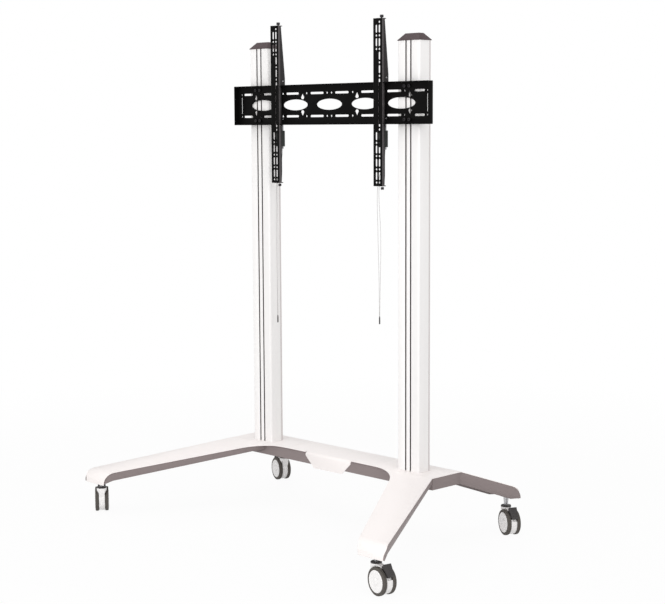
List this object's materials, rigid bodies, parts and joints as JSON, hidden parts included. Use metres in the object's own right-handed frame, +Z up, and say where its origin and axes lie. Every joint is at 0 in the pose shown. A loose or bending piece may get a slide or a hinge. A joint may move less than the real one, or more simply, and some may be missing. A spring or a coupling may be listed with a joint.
{
  "type": "mobile tv stand",
  "caption": "Wheeled two-column floor stand for a large flat screen, with a height-adjustable wall plate and hooked arms.",
  "frame": {"origin": "on the floor, under the middle of the stand's own box; the plane through the columns' middle lies 150 mm behind it", "axes": "+X to the stand's right as seen by a viewer of the screen, +Y to the back, +Z up; the screen faces -Y"},
  "size_m": [1.7121, 0.9984, 1.992],
  "materials": {
    "grey_frame": "satin grey powder coat on folded steel",
    "white_cover": "satin white powder coat on folded steel",
    "white_column": "white powder coat on extruded aluminium",
    "grey_cap": "moulded, fine grain",
    "steel": "zinc plated",
    "bush_plastic": "moulded bearing plastic",
    "dark_plastic": "moulded, fine grain",
    "black_paint": "black powder coat, fine orange peel",
    "black_screw": "black oxide",
    "latch_plastic": "moulded, fine grain",
    "latch_steel": "zinc plated",
    "cord": "braided cord",
    "cord_tip": "moulded",
    "caster_white": "moulded nylon, smooth",
    "caster_tyre": "soft tread, satin"
  },
  "bodies": {
    "root": {"cross_beam": "grey_frame", "front_leg_left": "grey_frame", "front_leg_right": "grey_frame", "rear_leg_left": "grey_frame", "rear_leg_right": "grey_frame", "side_cover_left": "white_cover", "side_cover_right": "white_cover", "centre_cover": "white_cover", "column_feet": "steel", "base_bolts": "steel", "column_left": "white_column", "column_right": "white_column", "rear_cover_left": "white_column", "rear_cover_right": "white_column", "cap_left": "grey_cap", "cap_right": "grey_cap", "caster_stems": "steel", "swivel_caps": "dark_plastic", "swivel_bushes": "bush_plastic"},
    "plate": {"wall_plate": "black_paint", "column_brackets": "black_paint", "clamp_bolts": "black_screw", "slot_nuts": "steel"},
    "arm_right": {"arm_right": "black_paint", "latch_housing_right": "latch_plastic"},
    "latch_right": {"latch_right": "latch_steel", "cord_right_a": "cord", "cord_right_b": "cord", "cord_tip_right": "cord_tip"},
    "levelling_screw_right": {"levelling_screw_right": "black_screw"},
    "lock_screw_right": {"lock_screw_right": "black_screw"},
    "arm_left": {"arm_left": "black_paint", "latch_housing_left": "latch_plastic"},
    "latch_left": {"latch_left": "latch_steel", "cord_left_a": "cord", "cord_left_b": "cord", "cord_tip_left": "cord_tip"},
    "levelling_screw_left": {"levelling_screw_left": "black_screw"},
    "lock_screw_left": {"lock_screw_left": "black_screw"},
    "caster_front_right": {"caster_housing_front_right": "caster_white"},
    "wheels_front_right": {"caster_hubs_front_right": "caster_white", "caster_tyres_front_right": "caster_tyre", "caster_axle_front_right": "steel"},
    "brake_front_right": {"brake_lever_front_right": "dark_plastic"},
    "caster_front_left": {"caster_housing_front_left": "caster_white"},
    "wheels_front_left": {"caster_hubs_front_left": "caster_white", "caster_tyres_front_left": "caster_tyre", "caster_axle_front_left": "steel"},
    "brake_front_left": {"brake_lever_front_left": "dark_plastic"},
    "caster_rear_right": {"caster_housing_rear_right": "caster_white"},
    "wheels_rear_right": {"caster_hubs_rear_right": "caster_white", "caster_tyres_rear_right": "caster_tyre", "caster_axle_rear_right": "steel"},
    "brake_rear_right": {"brake_lever_rear_right": "dark_plastic"},
    "caster_rear_left": {"caster_housing_rear_left": "caster_white"},
    "wheels_rear_left": {"caster_hubs_rear_left": "caster_white", "caster_tyres_rear_left": "caster_tyre", "caster_axle_rear_left": "steel"},
    "brake_rear_left": {"brake_lever_rear_left": "dark_plastic"}
  },
  "joints": [
    {"name": "plate_height", "type": "slide", "parent": "root", "child": "plate", "axis": [0, 0, 1], "range_m": [-0.4, 0.12]},
    {"name": "arm_right_slide", "type": "slide", "parent": "plate", "child": "arm_right", "axis": [1, 0, 0], "range_m": [-0.24, 0.035]},
    {"name": "latch_right_pull", "type": "slide", "parent": "arm_right", "child": "latch_right", "axis": [0, 0, 1], "range_m": [-0.016, 0], "stiffness_N_per_m": 250, "springref_m": 0.01},
    {"name": "levelling_screw_right_turn", "type": "hinge", "parent": "arm_right", "child": "levelling_screw_right", "pos_m": [0.2874, 0.101, 1.979], "axis": [0, 0, 1], "continuous": true},
    {"name": "lock_screw_right_turn", "type": "hinge", "parent": "arm_right", "child": "lock_screw_right", "pos_m": [0.2924, 0.098, 1.351], "axis": [0, 0, 1], "continuous": true},
    {"name": "arm_left_slide", "type": "slide", "parent": "plate", "child": "arm_left", "axis": [1, 0, 0], "range_m": [-0.06, 0.2]},
    {"name": "latch_left_pull", "type": "slide", "parent": "arm_left", "child": "latch_left", "axis": [0, 0, 1], "range_m": [-0.016, 0], "stiffness_N_per_m": 250, "springref_m": 0.01},
    {"name": "levelling_screw_left_turn", "type": "hinge", "parent": "arm_left", "child": "levelling_screw_left", "pos_m": [-0.2754, 0.101, 1.979], "axis": [0, 0, 1], "continuous": true},
    {"name": "lock_screw_left_turn", "type": "hinge", "parent": "arm_left", "child": "lock_screw_left", "pos_m": [-0.2704, 0.098, 1.351], "axis": [0, 0, 1], "continuous": true},
    {"name": "swivel_front_right", "type": "hinge", "parent": "root", "child": "caster_front_right", "pos_m": [0.77, -0.456, 0.104], "axis": [0, 0, 1], "continuous": true},
    {"name": "wheels_front_right_roll", "type": "hinge", "parent": "caster_front_right", "child": "wheels_front_right", "pos_m": [0.80326, -0.46307, 0.05], "axis": [0.2079, 0.9781, 0], "continuous": true},
    {"name": "brake_front_right_press", "type": "hinge", "parent": "caster_front_right", "child": "brake_front_right", "pos_m": [0.81938, -0.4665, 0.0908], "axis": [0.2079, 0.9781, 0], "range_deg": [0, 8]},
    {"name": "swivel_front_left", "type": "hinge", "parent": "root", "child": "caster_front_left", "pos_m": [-0.77, -0.456, 0.104], "axis": [0, 0, 1], "continuous": true},
    {"name": "wheels_front_left_roll", "type": "hinge", "parent": "caster_front_left", "child": "wheels_front_left", "pos_m": [-0.79715, -0.43554, 0.05], "axis": [-0.6018, -0.7986, 0], "continuous": true},
    {"name": "brake_front_left_press", "type": "hinge", "parent": "caster_front_left", "child": "brake_front_left", "pos_m": [-0.81032, -0.42562, 0.0908], "axis": [-0.6018, -0.7986, 0], "range_deg": [0, 8]},
    {"name": "swivel_rear_right", "type": "hinge", "parent": "root", "child": "caster_rear_right", "pos_m": [0.625, 0.446, 0.104], "axis": [0, 0, 1], "continuous": true},
    {"name": "wheels_rear_right_roll", "type": "hinge", "parent": "caster_rear_right", "child": "wheels_rear_right", "pos_m": [0.65502, 0.43004, 0.05], "axis": [0.4695, 0.8829, 0], "continuous": true},
    {"name": "brake_rear_right_press", "type": "hinge", "parent": "caster_rear_right", "child": "brake_rear_right", "pos_m": [0.66957, 0.4223, 0.0908], "axis": [0.4695, 0.8829, 0], "range_deg": [0, 8]},
    {"name": "swivel_rear_left", "type": "hinge", "parent": "root", "child": "caster_rear_left", "pos_m": [-0.625, 0.446, 0.104], "axis": [0, 0, 1], "continuous": true},
    {"name": "wheels_rear_left_roll", "type": "hinge", "parent": "caster_rear_left", "child": "wheels_rear_left", "pos_m": [-0.65695, 0.45763, 0.05], "axis": [-0.342, -0.9397, 0], "continuous": true},
    {"name": "brake_rear_left_press", "type": "hinge", "parent": "caster_rear_left", "child": "brake_rear_left", "pos_m": [-0.67244, 0.46327, 0.0908], "axis": [-0.342, -0.9397, 0], "range_deg": [0, 8]}
  ]
}
